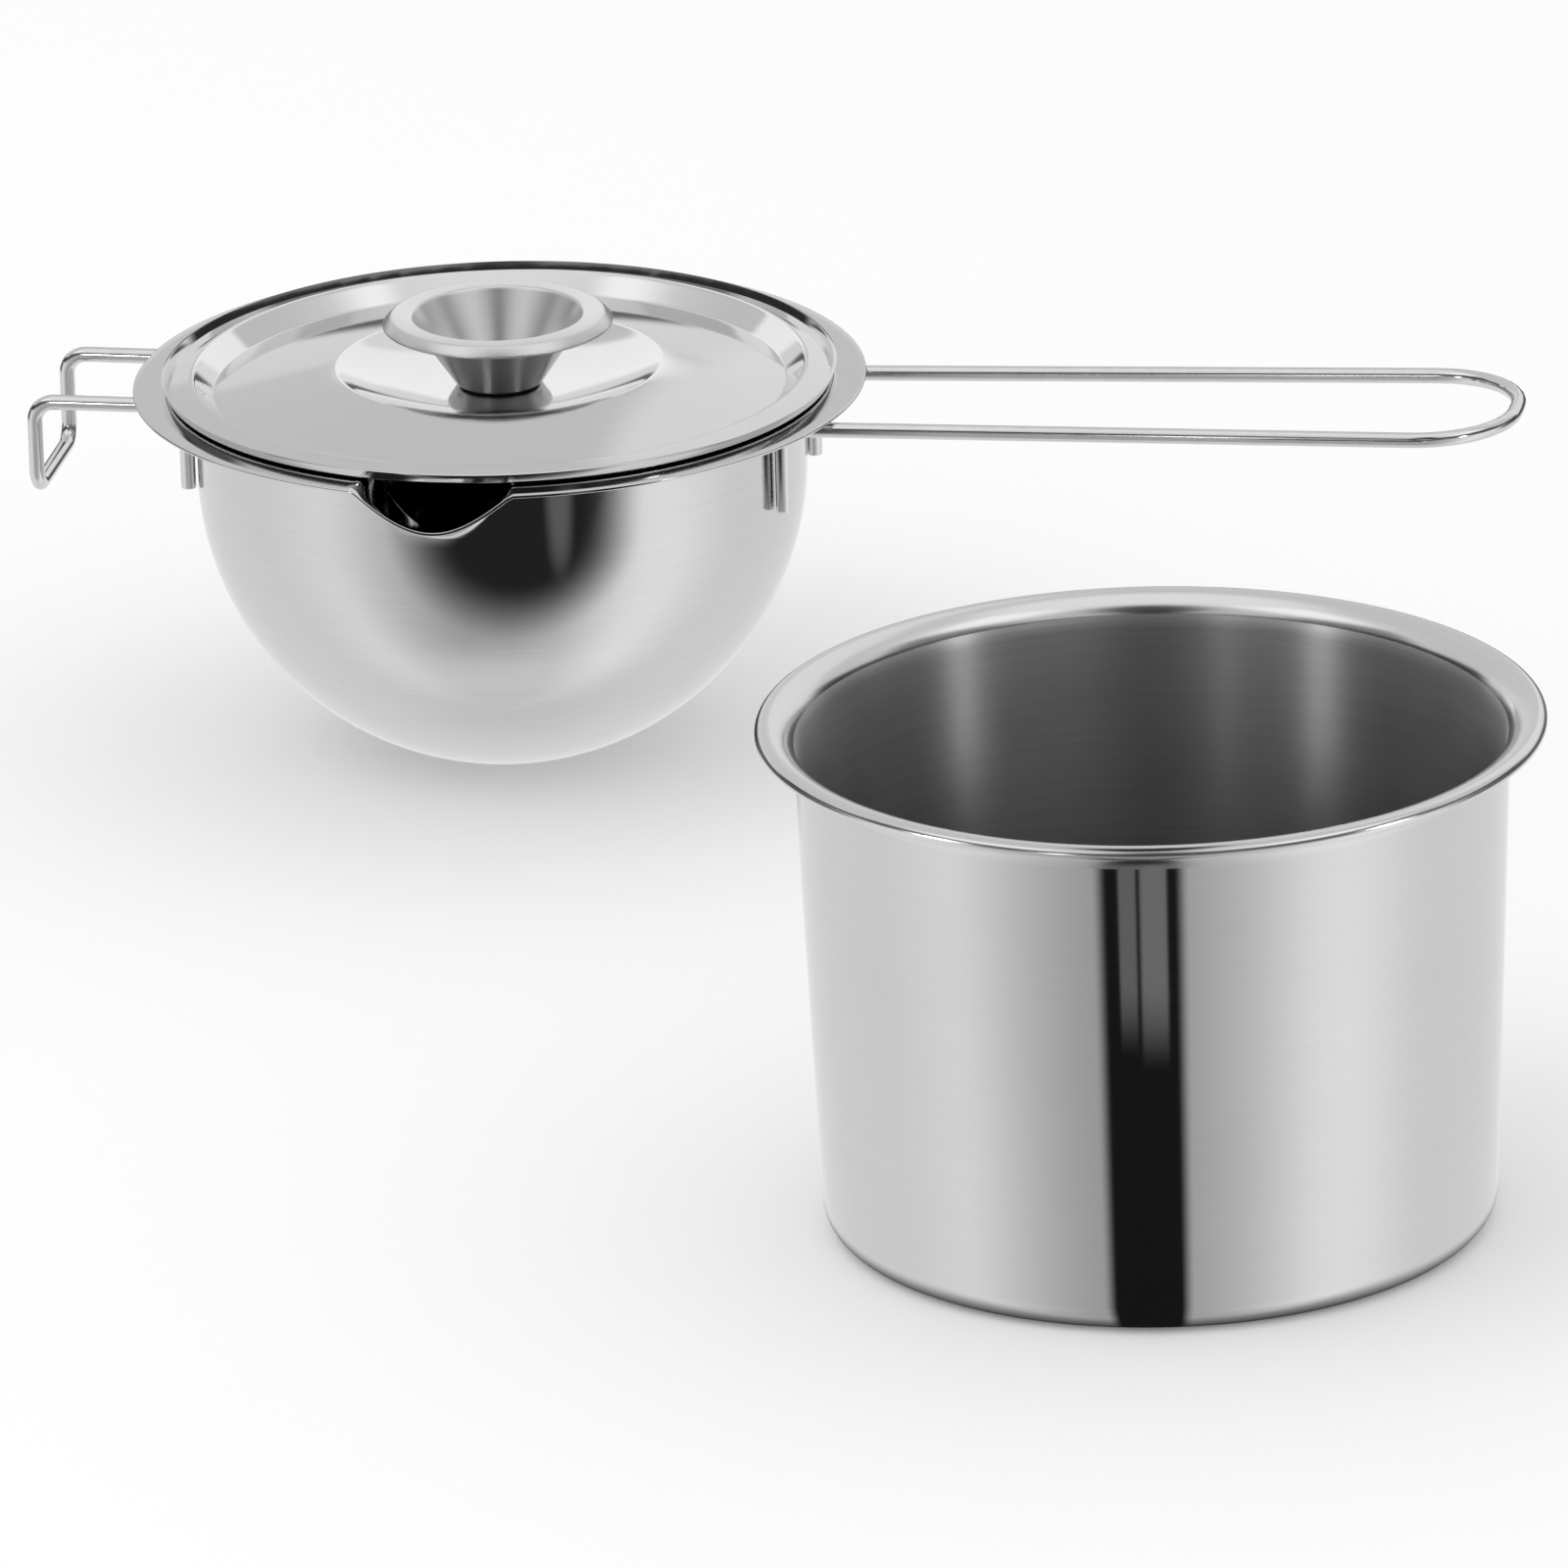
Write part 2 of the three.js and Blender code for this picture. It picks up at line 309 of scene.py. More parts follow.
class NodeDesk:
    """Adds and links the nodes of one tree."""

    def __init__(self, tree: NodeTree) -> None:
        """Starts with an empty tree."""
        self.tree = tree
        tree.nodes.clear()

    def add(self, kind: str, inputs: dict | None = None, **settings: object) -> Node:
        """Adds a node.

        Args:
            kind: Blender's name for the node, without its prefix.
            inputs: Values or sockets for its inputs, by name or number.
            **settings: Values for its own settings.

        Returns:
            The node.
        """
        node = self.tree.nodes.new("ShaderNode" + kind)
        for name, value in settings.items():
            setattr(node, name, value)
        for name, value in (inputs or {}).items():
            self.feed(node.inputs[name], value)
        return node

    def feed(self, socket: NodeSocket, value: object) -> None:
        """Links a socket to an input, or sets the input's own value.

        Args:
            socket: Input to feed.
            value: Socket to link, or value to set.
        """
        if isinstance(value, NodeSocket):
            self.tree.links.new(value, socket)
        else:
            socket.default_value = value

    def math(self, operation: str, *values: object) -> NodeSocket:
        """Result of a Math node."""
        return self.add("Math", dict(enumerate(values)), operation=operation).outputs[0]

    def vector(self, operation: str, *values: object) -> NodeSocket:
        """Vector that a Vector Math node gives."""
        node = self.add("VectorMath", dict(enumerate(values)), operation=operation)
        return node.outputs["Vector"]

    def spread(self, value: NodeSocket, low: float, high: float, least: float, most: float,
               smooth: bool = False) -> NodeSocket:
        """Maps one range of a value on another.

        Args:
            value: Value to map.
            low: Where the range starts.
            high: Where it ends.
            least: Result at the start.
            most: Result at the end.
            smooth: Whether the ramp eases in and out.

        Returns:
            The mapped value.
        """
        kind = "SMOOTHSTEP" if smooth else "LINEAR"
        node = self.add("MapRange", {0: value, 1: low, 2: high, 3: least, 4: most})
        node.interpolation_type = kind
        return node.outputs[0]

    def place_from(self, axis: Vector) -> NodeSocket:
        """Place on the piece, from the foot of its axis."""
        coordinates = self.add("TexCoord").outputs["Object"]
        return self.add("Mapping", {"Vector": coordinates, "Location": -axis}).outputs["Vector"]


HAZE_RANGE = (0.35, 0.65)  # part of the noise that becomes the full range of the haze
LINE_RANGE = (0.3, 0.7)  # part of the noise that becomes the full range of the lines
LINE_SHARE = 0.7  # weight of the lines in a finish, where the haze has the rest
COOL = 1.01  # blue of the steel, as a share of its red and green
HAZE_DETAIL = 4.0
LINE_DETAIL = 3.0
QUARTER_TURN = 0.25
PAINTED_SHADE_FOOT = 1 / 3  # where the painted shade is deepest, as a share of the height where it starts


class Grain(Enum):
    """Way that the fine lines of a finish run."""

    TURNED = "rings round the axis"
    CLOUDED = "no direction"


@dataclass(frozen=True)
class SteelFinish:
    """Finish of a steel surface: how polished it is, fine lines, the haze that hands and cloths
    leave, and painted shade that darkens it towards the bottom where asked for.
    """

    name: str
    grey: float
    roughness: float
    grain: Grain = Grain.TURNED
    line_pitch: float = 0.5 * MM  # from one fine line to the next
    line_wander: float = 2.0  # how often a line breaks off on its way round
    line_contrast: float = 0.06
    line_depth: float = 0.004 * MM
    roughness_spread: float = 0.06
    haze_size: float = 25 * MM
    streak: float = 0.5  # how strongly reflections are drawn across the lines
    painted_shade_below: float = 0.0  # height below which painted shade darkens the grey, 0 for none
    painted_shade_share: float = 0.4  # grey where the painted shade is deepest, as a share of the full grey

    def material(self, axis: Vector) -> Material:
        """Makes the finish for a piece.

        Args:
            axis: Foot of the axis that the piece was turned on.

        Returns:
            The material.
        """
        material = bpy.data.materials.new(self.name)
        material.use_nodes = True
        desk = NodeDesk(material.node_tree)
        place = desk.place_from(axis)
        outward = desk.vector("NORMALIZE", desk.vector("MULTIPLY", place, (1, 1, 0)))
        lines = self.lines(desk, place, outward)
        haze = desk.add("TexNoise", {"Vector": place, "Scale": 1 / self.haze_size})
        haze.inputs["Detail"].default_value = HAZE_DETAIL
        cloud = desk.spread(haze.outputs[0], *HAZE_RANGE, -1.0, 1.0)
        stroke = desk.spread(lines, *LINE_RANGE, -1.0, 1.0)
        rest = desk.math("MULTIPLY", cloud, 1 - LINE_SHARE)
        blend = desk.math("MULTIPLY_ADD", stroke, LINE_SHARE, rest)
        shade = desk.math("MULTIPLY_ADD", blend, self.line_contrast * self.grey, self.grey)
        # painted shade: the grey darkens towards the bottom of the piece, for the shade deep inside
        # the pot
        if self.painted_shade_below:
            height = desk.add("SeparateXYZ", {0: place}).outputs[2]
            shade_foot = self.painted_shade_below * PAINTED_SHADE_FOOT
            painted_shade = desk.spread(height, shade_foot, self.painted_shade_below, self.painted_shade_share, 1.0)
            shade = desk.math("MULTIPLY", shade, painted_shade)
        blue = desk.math("MULTIPLY", shade, COOL)
        colour = desk.add("CombineColor", {0: shade, 1: shade, 2: blue})
        rough = desk.math("MULTIPLY_ADD", blend, self.roughness_spread, self.roughness)
        bump = desk.add("Bump", {"Height": lines, "Strength": 1.0, "Distance": self.line_depth})
        shader = desk.add("BsdfPrincipled", {
            "Base Color": colour.outputs[0],
            "Metallic": 1.0,
            "Roughness": rough,
            "Normal": bump.outputs[0],
        })
        if self.grain is Grain.TURNED:
            shader.inputs["Anisotropic"].default_value = self.streak
            shader.inputs["Anisotropic Rotation"].default_value = QUARTER_TURN
            desk.feed(shader.inputs["Tangent"], desk.vector("CROSS_PRODUCT", UP, outward))
        desk.add("OutputMaterial", {"Surface": shader.outputs[0]})
        return material

    def lines(self, desk: NodeDesk, place: NodeSocket, outward: NodeSocket) -> NodeSocket:
        """Draws the fine lines.

        Args:
            desk: Tree that the nodes go into.
            place: Place on the piece, from the foot of its axis.
            outward: Direction away from the axis.

        Returns:
            Height of the surface, from 0 to 1.
        """
        if self.grain is Grain.CLOUDED:
            noise = desk.add("TexNoise", {"Vector": place, "Scale": 1 / self.line_pitch})
            noise.inputs["Detail"].default_value = LINE_DETAIL
            return noise.outputs[0]
        apart = desk.add("SeparateXYZ", {0: place})
        level = desk.vector("MULTIPLY", place, (1, 1, 0))
        radius = desk.add("VectorMath", {0: level}, operation="LENGTH")
        round_axis = desk.add("SeparateXYZ", {0: outward})
        across = desk.math("DIVIDE", radius.outputs["Value"], self.line_pitch)
        upward = desk.math("DIVIDE", apart.outputs[2], self.line_pitch)
        side = desk.math("MULTIPLY", round_axis.outputs[0], self.line_wander)
        front = desk.math("MULTIPLY", round_axis.outputs[1], self.line_wander)
        ring = desk.add("CombineXYZ", {0: across, 1: upward, 2: side})
        noise = desk.add(
            "TexNoise",
            {"Vector": ring.outputs[0], "W": front, "Scale": 1.0, "Detail": LINE_DETAIL},
            noise_dimensions="4D",
        )
        return noise.outputs[0]


POT_OUTSIDE = SteelFinish("pot_bright_satin", 0.66, 0.05, line_contrast=0.02,
                          line_depth=0.0002 * MM, roughness_spread=0.012, streak=0.0)
# brushed inside, with painted shade that darkens it towards the bottom
POT_INSIDE = SteelFinish("pot_brushed_inside", 0.62, 0.42, line_pitch=0.3 * MM, line_contrast=0.1,
                         line_depth=0.0006 * MM, roughness_spread=0.03, streak=0.95,
                         painted_shade_below=96 * MM, painted_shade_share=0.38)
POT_RIM = SteelFinish("pot_rim_satin", 0.7, 0.2, line_contrast=0.02,
                      line_depth=0.0003 * MM, roughness_spread=0.03, streak=0.0)
BOWL_SATIN = SteelFinish("bowl_fine_satin", 0.66, 0.085, line_contrast=0.03,
                         line_depth=0.0003 * MM, roughness_spread=0.02, streak=0.2)
LID_MIRROR = SteelFinish("lid_turned_mirror", 0.68, 0.07, line_pitch=0.7 * MM, line_contrast=0.02,
                         line_depth=0.0002 * MM, roughness_spread=0.02, streak=0.3)
KNOB_SATIN = SteelFinish("knob_brushed_satin", 0.68, 0.32, line_pitch=0.35 * MM, line_contrast=0.04,
                         line_depth=0.0006 * MM, roughness_spread=0.03, streak=0.5)
WIRE_POLISH = SteelFinish("wire_drawn_polish", 0.7, 0.13, Grain.CLOUDED, line_pitch=3 * MM,
                          line_contrast=0.04, line_depth=0.0005 * MM, roughness_spread=0.03)


# Pieces


@dataclass
class WaterPot:
    """Deep drawn pot for the hot water, with a flared rim and a rolled edge."""

    mouth_radius: float = 65.6 * MM  # outside of the wall, where the flare begins
    foot_radius: float = 62.3 * MM  # outside of the wall, where the base corner ends
    base_corner: float = 5 * MM
    lip_roll: float = 1.3 * MM
    sheet: float = 0.7 * MM
    flat_radius: float = 20 * MM  # disc in the middle of the base that the sheet is drawn from
    lip_start: float = 75  # degrees that the rolled edge runs from and to
    lip_end: float = -20
    corner_steps: int = 8
    flare_steps: int = 12
    lip_steps: int = 7
    columns: int = 192
    floor_slope: float = 0.5  # faces that look up more than this belong to the inside
    rim_slope: float = 0.4  # and on the flare, more than this, to the rim

    def __post_init__(self) -> None:
        """Takes the place and the outer sizes from the CAD node."""
        self.axis, self.rim_radius, self.height = measure("outer_pot")

    def midline(self) -> list[Vector]:
        """Draws the section of the pot, from the flat base out to the rolled edge.

        Returns:
            The midline of the sheet.
        """
        half = self.sheet / 2
        mouth = self.mouth_radius - half
        foot = self.foot_radius - half
        lip = at(self.rim_radius - half - self.lip_roll, self.height - half - self.lip_roll)
        flare_radius = lip.x - mouth
        flare = at(lip.x, self.height - half - flare_radius)
        corner = at(foot - self.base_corner, half + self.base_corner)
        taper = math.degrees(math.atan2(mouth - foot, flare.y - corner.y))
        points = [
            at(self.flat_radius, half),
            *arc(corner, self.base_corner, -90, -taper, self.corner_steps),
            *arc(flare, flare_radius, 180 - taper, 90, self.flare_steps),
            *arc(lip, self.lip_roll, self.lip_start, self.lip_end, self.lip_steps),
        ]
        return pressed([Corner(point) for point in points])

    def build(self) -> None:
        """Models the pot and dresses it, satin outside and brushed inside."""
        pot = turn_sheet("water_pot", self.midline(), self.axis, self.columns)
        thicken(pot, self.sheet)
        self.dress(pot)
        hand_over(pot, "outer_pot", "outer_pot")

    def dress(self, pot: Object) -> None:
        """Gives the faces that look inwards the brushed finish, and the flare a satin one.

        Args:
            pot: Finished shell.
        """
        finishes = [POT_OUTSIDE, POT_INSIDE, POT_RIM]
        for finish in finishes:
            pot.data.materials.append(finish.material(self.axis))
        flare = self.height - (self.rim_radius - self.mouth_radius)
        for face in pot.data.polygons:
            outward = face.center - self.axis
            inwards = face.normal.x * outward.x + face.normal.y * outward.y < 0
            inside = inwards or face.normal.z > self.floor_slope
            on_rim = face.center.z > flare and (face.normal.z > self.rim_slope or not inside)
            finish = POT_INSIDE if inside else POT_OUTSIDE
            face.material_index = finishes.index(POT_RIM if on_rim else finish)


@dataclass
class MeltingBowl:
    """Round-bottomed bowl with a flat rim and a pour spout pressed into each side of it."""

    body_radius: float = 60.4 * MM
    base_radius: float = 20 * MM
    wall_height: float = 17 * MM
    rim_corner: float = 1.6 * MM
    sheet: float = 0.7 * MM
    spout_half_width: float = 16 * MM
    spout_dip: float = 7.6 * MM
    spout_root_depth: float = 13 * MM
    spout_root_width: float = 0.5  # share of the full width that is left at the root
    gather: float = 0.3  # share of the columns that gather at the spouts
    dome_steps: int = 26
    wall_steps: int = 7
    fold_steps: int = 6
    rim_steps: int = 6
    columns: int = 240

    def __post_init__(self) -> None:
        """Takes the place and the outer sizes from the CAD node."""
        self.axis, self.rim_radius, self.height = measure("melting_bowl")

    @property
    def body(self) -> float:
        """Radius of the middle of the wall's sheet."""
        return self.body_radius - self.sheet / 2

    @property
    def rim_height(self) -> float:
        """Height of the middle of the rim's sheet."""
        return self.height - self.sheet / 2

    def midline(self) -> list[Vector]:
        """Draws the section of the bowl away from the spouts, from the flat base to the rim.

        Returns:
            The midline of the sheet.
        """
        half = self.sheet / 2
        top = at(0, self.height - self.wall_height)
        base_angle = math.acos(self.base_radius / self.body)
        depth = (top.y - half) / math.sin(base_angle)
        dome = arc(top, self.body, -math.degrees(base_angle), 0, self.dome_steps, depth)
        corner = at(self.body + self.rim_corner, self.rim_height - self.rim_corner)
        rise = (corner.y - top.y) / self.wall_steps
        wall = [at(self.body, top.y + rise * i) for i in range(1, self.wall_steps)]
        fold = arc(corner, self.rim_corner, 180, 90, self.fold_steps)
        reach = (self.rim_radius - corner.x) / self.rim_steps
        rim = [at(corner.x + reach * i, self.rim_height) for i in range(1, self.rim_steps + 1)]
        return [*dome, *wall, *fold, *rim]

    def spout_section(self, share: float) -> Vector:
        """Point on the middle of a spout.

        Args:
            share: Way from the root, 0, to the lip, 1.

        Returns:
            The point, as radius and height.
        """
        root = at(self.body, self.rim_height - self.spout_root_depth)
        lip = at(self.rim_radius, self.rim_height - self.spout_dip)
        rise = (lip.y - root.y) / 2
        reach = (lip.x - self.body) / 2
        lower = at(root.x, root.y + rise)
        upper = at(lip.x - reach, lip.y - rise / 2)
        rest = 1 - share
        return (root * rest**3 + lower * 3 * rest**2 * share + upper * 3 * rest * share**2
                + lip * share**3)

    def press_spouts(self, bowl: Object, midline: list[Vector]) -> None:
        """Moves the points of the round sheet into the spouts and gathers the columns there.

        Args:
            bowl: Sheet with no thickness yet.
            midline: Section that it was turned from.
        """
        steps = [(here - before).length for before, here in zip(midline, midline[1:])]
        left = [sum(steps[i:]) for i in range(len(midline))]
        spout_length = self.spout_root_depth + self.rim_radius - self.body
        for vert in bowl.data.vertices:
            flat = Vector((vert.co.x - self.axis.x, vert.co.y - self.axis.y))
            if flat.length < midline[0].x / 2:
                continue
            here = at(flat.length, vert.co.z)
            station = min(range(len(midline)), key=lambda i: (midline[i] - here).length_squared)
            turn = math.atan2(flat.y, flat.x)
            turn += self.gather * math.sin(2 * turn)
            share = max(0.0, 1 - left[station] / spout_length)
            from_spout = abs(math.asin(math.cos(turn))) * self.rim_radius
            width = self.spout_half_width * min(1, self.spout_root_width + share)
            press = math.cos(math.pi / 2 * from_spout / width) if from_spout < width else 0.0
            if share > 0 and press > 0:
                here = here + (self.spout_section(share) - here) * press
            vert.co.x = self.axis.x + here.x * math.cos(turn)
            vert.co.y = self.axis.y + here.x * math.sin(turn)
            vert.co.z = here.y

    def build(self) -> None:
        """Models the bowl and dresses it."""
        midline = self.midline()
        bowl = turn_sheet("melting_bowl_shell", midline, self.axis, self.columns)
        self.press_spouts(bowl, midline)
        thicken(bowl, self.sheet)
        bowl.data.materials.append(BOWL_SATIN.material(self.axis))
        hand_over(bowl, "melting_bowl", "melting_bowl")


class BentRod:
    """Round wire that is bent up run by run, as on a bending jig."""

    SIDES = 20
    BEND_STEPS = 10

    def __init__(self, name: str, start: Vector, heading: Vector, radius: float) -> None:
        """Starts with the cut end of the wire.

        Args:
            name: Name of the piece.
            start: Middle of the cut end.
            heading: Direction in which the wire leaves it.
            radius: Radius of the wire.
        """
        self.place = start.copy()
        self.heading = heading.normalized()
        self.radius = radius
        clear_selection()
        bpy.ops.mesh.primitive_circle_add(
            vertices=self.SIDES, radius=radius, fill_type="NGON", location=start,
            rotation=self.heading.to_track_quat("Z", "Y").to_euler(),
        )
        self.piece = take_new(name)
        bpy.ops.object.mode_set(mode="EDIT")
        bpy.ops.mesh.select_all(action="SELECT")

    def run(self, length: float) -> None:
        """Draws the wire straight on."""
        bpy.ops.mesh.extrude_region_move(TRANSFORM_OT_translate={"value": self.heading * length})
        self.place += self.heading * length

    def bend(self, towards: Vector, radius: float) -> None:
        """Bends the wire into another direction.

        Args:
            towards: Direction after the bend.
            radius: Radius of the bend at the middle of the wire.
        """
        outbound = towards.normalized()
        angle = self.heading.angle(outbound)
        inward = (outbound - self.heading * math.cos(angle)).normalized()
        centre = self.place + inward * radius
        bpy.ops.mesh.spin(
            steps=self.BEND_STEPS, angle=-angle, center=centre, axis=self.heading.cross(inward)
        )
        self.place = centre + (self.heading * math.sin(angle) - inward * math.cos(angle)) * radius
        self.heading = outbound

    def follow(self, corners: list[Vector], bends: list[float]) -> Object:
        """Draws the rest of the wire along corners and closes it.

        Args:
            corners: Corners of the path, from the first bend to the far end.
            bends: Radius of the bend at each corner but the last.

        Returns:
            The finished wire.
        """
        for here, after, radius in zip(corners, corners[1:], bends):
            onward = (after - here).normalized()
            reach = radius * math.tan(self.heading.angle(onward) / 2)
            self.run((here - self.place).length - reach)
            self.bend(onward, radius)
        self.run((corners[-1] - self.place).length)
        bpy.ops.mesh.select_all(action="SELECT")
        bpy.ops.mesh.remove_doubles(threshold=MERGE_GAP)
        bpy.ops.mesh.normals_make_consistent(inside=False)
        bpy.ops.object.mode_set(mode="OBJECT")
        round_edges(self.piece, self.radius * WIRE_EDGE)
        return self.piece


@dataclass
class BowlWires:
    """Handle and hook, bent from round wire and welded to the bowl's wall under its rim."""

    bowl: MeltingBowl
    radius: float = 1.5 * MM
    bend: float = 4 * MM
    tail: float = 17 * MM
    rim_gap: float = 0.7 * MM
    weld_gap: float = 0.3 * MM
    handle_length: float = 130.3 * MM
    handle_root_width: float = 35 * MM
    handle_tip_width: float = 40.5 * MM
    handle_tip_bend: float = 18 * MM
    handle_rise: float = 3 * MM
    hook_stand_off: float = 18.5 * MM
    hook_width: float = 30 * MM
    hook_drop: float = 18 * MM

    @property
    def run_height(self) -> float:
        """Height of the legs, under the bowl's rim."""
        return self.bowl.height - self.bowl.sheet - self.rim_gap - self.radius

    def weld(self, half_width: float) -> float:
        """Distance of the welded tails from the bowl's axis, along the wire's legs."""
        return math.sqrt((self.bowl.body_radius + self.weld_gap + self.radius) ** 2 - half_width**2)

    def make(self, name: str, side: list[Vector], bends: list[float]) -> Object:
        """Bends a wire that is the same on both sides.

        Args:
            name: Name of the piece.
            side: Corners of one side, from the welded end outwards, from the bowl's axis.
            bends: Radius of the bend at each corner of that side but the first.

        Returns:
            The finished wire.
        """
        mirror = [Vector((place.x, -place.y, place.z)) for place in reversed(side)]
        corners = [self.bowl.axis + place for place in [*side, *mirror]]
        rod = BentRod(name, corners[0], corners[1] - corners[0], self.radius)
        wire = rod.follow(corners[1:], [*bends, *reversed(bends)])
        wire.data.materials.append(WIRE_POLISH.material(self.bowl.axis))
        return wire

    def build_handle(self) -> None:
        """Bends the long loop of the handle."""
        root = self.handle_root_width / 2
        weld = self.weld(root)
        tip = Vector((
            self.bowl.rim_radius + self.handle_length,
            -self.handle_tip_width / 2,
            self.run_height + self.handle_rise,
        ))
        side = [
            Vector((weld, -root, self.run_height - self.tail)),
            Vector((weld, -root, self.run_height)),
            tip,
        ]
        handle = self.make("handle_loop", side, [self.bend, self.handle_tip_bend])
        hand_over(handle, "handle_wire", "melting_bowl")

    def build_hook(self) -> None:
        """Bends the hook that hangs the bowl on the water pot's rim."""
        half = self.hook_width / 2
        weld = -self.weld(half)
        bar = -self.bowl.rim_radius - self.hook_stand_off
        side = [
            Vector((weld, -half, self.run_height - self.tail)),
            Vector((weld, -half, self.run_height)),
            Vector((bar, -half, self.run_height)),
            Vector((bar, -half, self.run_height - self.hook_drop)),
        ]
        hook = self.make("rim_hook", side, [self.bend] * 3)
        hand_over(hook, "hook_wire", "melting_bowl")


@dataclass
class Lid:
    """Lid with an upturned edge, a sunken crowned plate, a finger dish and a cup-shaped knob."""

    bowl: MeltingBowl
    clearance: float = 0.3 * MM
    overhang: float = 6.4 * MM
    lip_height: float = 1.8 * MM
    ring_rise: float = 1.5 * MM
    play: float = 2.9 * MM
    step_run: float = 4 * MM
    step_drop: float = 3.9 * MM
    crown_rise: float = 4.6 * MM
    dish_radius: float = 32.2 * MM
    dish_depth: float = 4.2 * MM
    sheet: float = 0.7 * MM
    crease: float = 0.6 * MM
    knob_height: float = 14.2 * MM
    knob_foot_radius: float = 8.6 * MM
    knob_cup_radius: float = 17.6 * MM
    knob_rim_radius: float = 23 * MM
    knob_rim_drop: float = 1.7 * MM
    knob_seat_margin: float = 2 * MM
    crown_swell: float = 0.125  # how far the plate bulges, as a share of its rise
    dish_steps: int = 14
    crown_steps: int = 12
    columns: int = 192

    @property
    def seat(self) -> float:
        """Height of the middle of the sheet at the lid's edge, on the bowl's rim."""
        return self.bowl.height + self.clearance + self.sheet / 2

    @property
    def step_top(self) -> float:
        """Height of the crease above the step."""
        return self.seat + self.ring_rise

    @property
    def plate_edge(self) -> float:
        """Height of the foot of the step."""
        return self.step_top - self.step_drop

    @property
    def dish_floor(self) -> float:
        """Height of the floor of the finger dish."""
        return self.plate_edge + self.crown_rise - self.dish_depth

    def midline(self) -> list[Vector]:
        """Draws the section of the lid, from the floor of the dish out to the upturned edge.

        Returns:
            The midline of the sheet.
        """
        edge = self.bowl.body_radius + self.overhang - self.sheet / 2
        plate = self.bowl.body_radius - self.bowl.sheet - self.play
        floor = self.knob_foot_radius + self.knob_seat_margin
        rim = at(self.dish_radius, self.plate_edge + self.crown_rise)
        foot = at(plate, self.plate_edge)
        bottom = at(floor, self.dish_floor)
        dish = bow(bottom, at((floor + rim.x) / 2, bottom.y), rim, self.dish_steps)
        swell = at(0, self.crown_rise * self.crown_swell)
        crown = bow(rim, (rim + foot) / 2 + swell, foot, self.crown_steps)
        return pressed([
            Corner(at(floor / 2, self.dish_floor)),
            *[Corner(point) for point in dish[:-1]],
            Corner(rim, 2 * self.crease),
            *[Corner(point) for point in crown[1:-1]],
            Corner(foot, self.crease),
            Corner(at(plate + self.step_run, self.step_top), self.crease),
            Corner(at(edge - self.sheet, self.seat), self.crease / 2),
            Corner(at(edge, self.seat + self.lip_height)),
        ])

    def knob_midline(self) -> list[Vector]:
        """Draws the section of the knob, from its foot up the cone and out over the rim.

        Returns:
            The midline of the sheet.
        """
        half = self.sheet / 2
        foot = self.dish_floor + half + self.clearance + half
        rim = foot + self.knob_height - self.sheet
        bevel = self.knob_rim_radius - half - self.knob_rim_drop
        return pressed([
            Corner(at(self.knob_foot_radius / 2, foot)),
            Corner(at(self.knob_foot_radius - half, foot), self.crease),
            Corner(at(self.knob_cup_radius - half, rim), self.crease),
            Corner(at(bevel, rim), self.crease),
            Corner(at(self.knob_rim_radius - half, rim - self.knob_rim_drop)),
        ])

    def build(self) -> None:
        """Models the lid and dresses it."""
        lid = turn_sheet("lid_plate", self.midline(), self.bowl.axis, self.columns)
        thicken(lid, self.sheet)
        lid.data.materials.append(LID_MIRROR.material(self.bowl.axis))
        hand_over(lid, "lid", "lid")

    def build_knob(self) -> None:
        """Models the knob and dresses it."""
        knob = turn_sheet("knob_cup", self.knob_midline(), self.bowl.axis, self.columns)
        thicken(knob, self.sheet)
        knob.data.materials.append(KNOB_SATIN.material(self.bowl.axis))
        hand_over(knob, "lid_knob", "lid")


# Camera, light and stage


@dataclass
class Viewpoint:
    """Camera at the photograph's viewing angle."""

    azimuth: float = 9.4  # degrees from the front, towards the handle's tip
    elevation: float = 21.2
    roll: float = 1.18  # degrees, right side up
    distance: float = 3.3
    focal_pixels: float = 18235
    frame_side: float = 1600  # pixels across the photograph
    origin_right: float = 384.6  # pixels from the middle of the picture to the pot's base
    origin_down: float = 436.8
    sensor: float = 36
    far_clip: float = 50

    @property
    def front(self) -> Vector:
        """Level direction from the set towards the camera."""
        angle = math.radians(self.azimuth)
        return Vector((math.sin(angle), -math.cos(angle), 0))

    def towards(self, heading: float) -> Vector:
        """Level direction from the set, in degrees to the right of the camera."""
        return Matrix.Rotation(math.radians(heading), 3, "Z") @ self.front

    def place(self) -> None:
        """Makes the camera, turned so that the pot's base lands where the photograph has it."""
        height = math.radians(self.elevation)
        roll = math.radians(self.roll)
        back = self.front * math.cos(height) + UP * math.sin(height)
        level = UP.cross(back).normalized()
        upright = back.cross(level)
        right = level * math.cos(roll) - upright * math.sin(roll)
        over = level * math.sin(roll) + upright * math.cos(roll)
        look = over * self.origin_down - right * self.origin_right - back * self.focal_pixels
        look.normalize()
        side = look.cross(over).normalized()
        turned = Matrix((side, side.cross(look), -look)).transposed()
        data = bpy.data.cameras.new("photo_camera")
        data.sensor_width = self.sensor
        data.lens = self.focal_pixels / self.frame_side * self.sensor
        data.clip_end = self.far_clip
        camera = bpy.data.objects.new("photo_camera", data)
        camera.matrix_world = Matrix.LocRotScale(back * self.distance, turned.to_quaternion(), None)
        bpy.context.collection.objects.link(camera)
        bpy.context.scene.camera = camera


def fade(edge: float, soft: float) -> tuple[float, float]:
    """Angles between which the edge of a panel fades, in radians."""
    return math.radians(edge - soft / 2), math.radians(edge + soft / 2)


